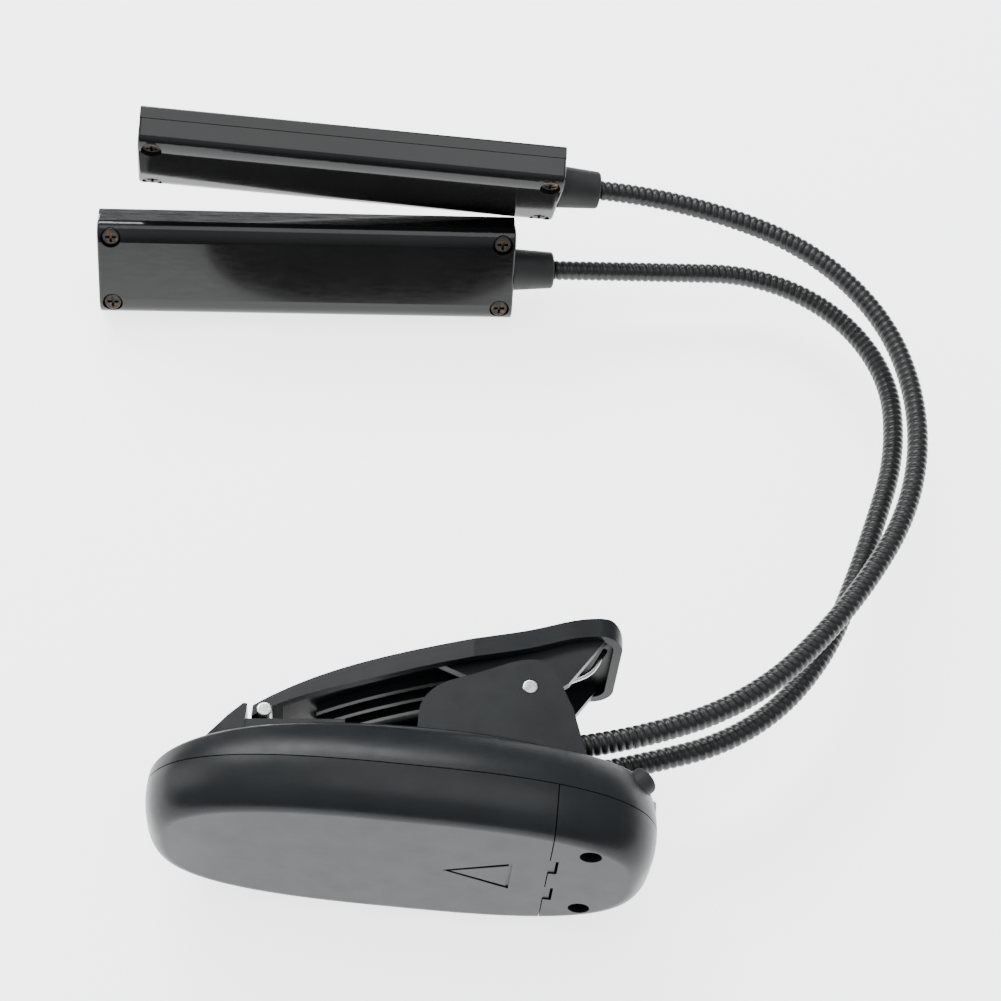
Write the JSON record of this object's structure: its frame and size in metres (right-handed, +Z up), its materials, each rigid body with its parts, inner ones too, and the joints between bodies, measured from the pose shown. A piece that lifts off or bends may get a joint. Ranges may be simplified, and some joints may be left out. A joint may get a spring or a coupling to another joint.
{
  "type": "clip on reading lamp",
  "caption": "Clip-on reading lamp: gooseneck arms carry flat rectangular light heads above a rounded battery base with a spring clip.",
  "frame": {"origin": "middle of the bottom face of the whole lamp's box, at the level of the table it lies on", "axes": "+X along the base from its nose to the end where the arms leave, +Y from the base's underside towards the clip lever and the heads, +Z up from the table across the base's width"},
  "size_m": [0.1812, 0.1712, 0.0468],
  "materials": {
    "satin_black": "satin, lightly textured",
    "gloss_black": "polished",
    "neck_black": "satin black over a steel spiral",
    "soft_black": "matte",
    "bright_steel": "plated",
    "dark_steel": "black oxide",
    "nickel": "plated",
    "board": "solder mask",
    "white_board": "white solder mask",
    "led": "phosphor and white body",
    "lens": "frosted",
    "cell": "printed sleeve",
    "lead": "insulated lead"
  },
  "bodies": {
    "base": {"arm_a_lead": "lead", "arm_a_neck_1": "neck_black", "arm_b_lead": "lead", "arm_b_neck_1": "neck_black", "base_leads": "lead", "battery_1": "cell", "battery_2": "cell", "battery_3": "cell", "battery_tray": "satin_black", "circuit_board": "board", "contact_plates": "nickel", "contact_springs": "nickel", "jaw_pad": "soft_black", "jaw_plate": "satin_black", "neck_holder": "satin_black", "pivot_pin": "bright_steel", "power_socket": "nickel", "rear_shell": "satin_black", "shell_screws": "dark_steel", "switches": "satin_black", "torsion_spring": "bright_steel", "upper_shell": "satin_black"},
    "lever": {"clip_lever": "satin_black", "tip_bar": "bright_steel"},
    "door": {"battery_door": "satin_black"},
    "button_a": {"button_a": "soft_black"},
    "button_b": {"button_b": "soft_black"},
    "arm_a_2": {"arm_a_neck_2": "neck_black"},
    "arm_a_3": {"arm_a_neck_3": "neck_black"},
    "arm_a_4": {"arm_a_neck_4": "neck_black"},
    "arm_a_5": {"arm_a_neck_5": "neck_black"},
    "arm_a_6": {"arm_a_neck_6": "neck_black"},
    "arm_a_7": {"arm_a_neck_7": "neck_black"},
    "arm_a_8": {"arm_a_neck_8": "neck_black"},
    "head_a": {"head_a_back_housing": "gloss_black", "head_a_bezel": "gloss_black", "head_a_grommet": "soft_black", "head_a_lead": "lead", "head_a_led_board": "white_board", "head_a_leds": "led", "head_a_lens": "lens", "head_a_screws": "dark_steel"},
    "arm_b_2": {"arm_b_neck_2": "neck_black"},
    "arm_b_3": {"arm_b_neck_3": "neck_black"},
    "arm_b_4": {"arm_b_neck_4": "neck_black"},
    "arm_b_5": {"arm_b_neck_5": "neck_black"},
    "arm_b_6": {"arm_b_neck_6": "neck_black"},
    "arm_b_7": {"arm_b_neck_7": "neck_black"},
    "arm_b_8": {"arm_b_neck_8": "neck_black"},
    "head_b": {"head_b_back_housing": "gloss_black", "head_b_bezel": "gloss_black", "head_b_grommet": "soft_black", "head_b_lead": "lead", "head_b_led_board": "white_board", "head_b_leds": "led", "head_b_lens": "lens", "head_b_screws": "dark_steel"}
  },
  "joints": [
    {"name": "lever_hinge", "type": "hinge", "parent": "base", "child": "lever", "pos_m": [0.01052, -0.05436, 0.02246], "axis": [0, 0, -1], "range_deg": [0, 18], "stiffness_Nm_per_rad": 0.4, "springref_deg": -28.65, "deforming": ["torsion_spring"]},
    {"name": "door_slide", "type": "slide", "parent": "base", "child": "door", "axis": [-1, 0, 0], "range_m": [0, 0.04]},
    {"name": "button_a_press", "type": "slide", "parent": "base", "child": "button_a", "axis": [-0.7071, -0.7071, 0], "range_m": [0, 0.00025], "stiffness_N_per_m": 900, "springref_m": -0.0006},
    {"name": "button_b_press", "type": "slide", "parent": "base", "child": "button_b", "axis": [-0.7071, -0.7071, 0], "range_m": [0, 0.00025], "stiffness_N_per_m": 900, "springref_m": -0.0006},
    {"name": "arm_a_bend_1", "type": "hinge", "parent": "base", "child": "arm_a_2", "pos_m": [0.04095, -0.05288, 0.027], "axis": [-0.0663, 0, -0.9978], "range_deg": [0, 14], "deforming": ["arm_a_lead"]},
    {"name": "arm_a_bend_2", "type": "hinge", "parent": "arm_a_2", "child": "arm_a_3", "pos_m": [0.06278, -0.03526, 0.02555], "axis": [-0.0663, 0, -0.9978], "range_deg": [0, 14]},
    {"name": "arm_a_bend_3", "type": "hinge", "parent": "arm_a_3", "child": "arm_a_4", "pos_m": [0.08156, -0.00561, 0.0243], "axis": [-0.0663, 0, -0.9978], "range_deg": [0, 14]},
    {"name": "arm_a_bend_4", "type": "hinge", "parent": "arm_a_4", "child": "arm_a_5", "pos_m": [0.08812, 0.01786, 0.02387], "axis": [-0.0663, 0, -0.9978], "range_deg": [0, 14]},
    {"name": "arm_a_bend_5", "type": "hinge", "parent": "arm_a_5", "child": "arm_a_6", "pos_m": [0.08572, 0.04289, 0.02403], "axis": [-0.0663, 0, -0.9978], "range_deg": [0, 14]},
    {"name": "arm_a_bend_6", "type": "hinge", "parent": "arm_a_6", "child": "arm_a_7", "pos_m": [0.07097, 0.06538, 0.025], "axis": [-0.0663, 0, -0.9978], "range_deg": [0, 14]},
    {"name": "arm_a_bend_7", "type": "hinge", "parent": "arm_a_7", "child": "arm_a_8", "pos_m": [0.05352, 0.0748, 0.02616], "axis": [-0.0663, 0, -0.9978], "range_deg": [0, 14]},
    {"name": "head_a_twist", "type": "hinge", "parent": "arm_a_8", "child": "head_a", "pos_m": [0.0183, 0.07867, 0.0285], "axis": [0.9952, 0.0715, -0.0661], "range_deg": [0, 60]},
    {"name": "arm_b_bend_1", "type": "hinge", "parent": "base", "child": "arm_b_2", "pos_m": [0.04257, -0.05332, 0.01622], "axis": [0, 0.0375, 0.9993], "range_deg": [0, 5], "deforming": ["arm_b_lead"]},
    {"name": "arm_b_bend_2", "type": "hinge", "parent": "arm_b_2", "child": "arm_b_3", "pos_m": [0.06345, -0.03693, 0.0156], "axis": [0, 0.0375, 0.9993], "range_deg": [0, 5]},
    {"name": "arm_b_bend_3", "type": "hinge", "parent": "arm_b_3", "child": "arm_b_4", "pos_m": [0.07282, -0.01912, 0.01493], "axis": [0, 0.0375, 0.9993], "range_deg": [0, 5]},
    {"name": "arm_b_bend_4", "type": "hinge", "parent": "arm_b_4", "child": "arm_b_5", "pos_m": [0.0835, 0.01533, 0.01364], "axis": [0, 0.0375, 0.9993], "range_deg": [0, 5]},
    {"name": "arm_b_bend_5", "type": "hinge", "parent": "arm_b_5", "child": "arm_b_6", "pos_m": [0.08587, 0.0375, 0.01281], "axis": [0, 0.0375, 0.9993], "range_deg": [0, 5]},
    {"name": "arm_b_bend_6", "type": "hinge", "parent": "arm_b_6", "child": "arm_b_7", "pos_m": [0.07758, 0.05959, 0.01198], "axis": [0, 0.0375, 0.9993], "range_deg": [0, 5]},
    {"name": "arm_b_bend_7", "type": "hinge", "parent": "arm_b_7", "child": "arm_b_8", "pos_m": [0.0461, 0.07275, 0.01148], "axis": [0, 0.0375, 0.9993], "range_deg": [0, 5]},
    {"name": "head_b_twist", "type": "hinge", "parent": "arm_b_8", "child": "head_b", "pos_m": [0.01022, 0.06882, 0.01163], "axis": [0.9938, 0.1114, -0.0042], "range_deg": [0, 60]}
  ]
}
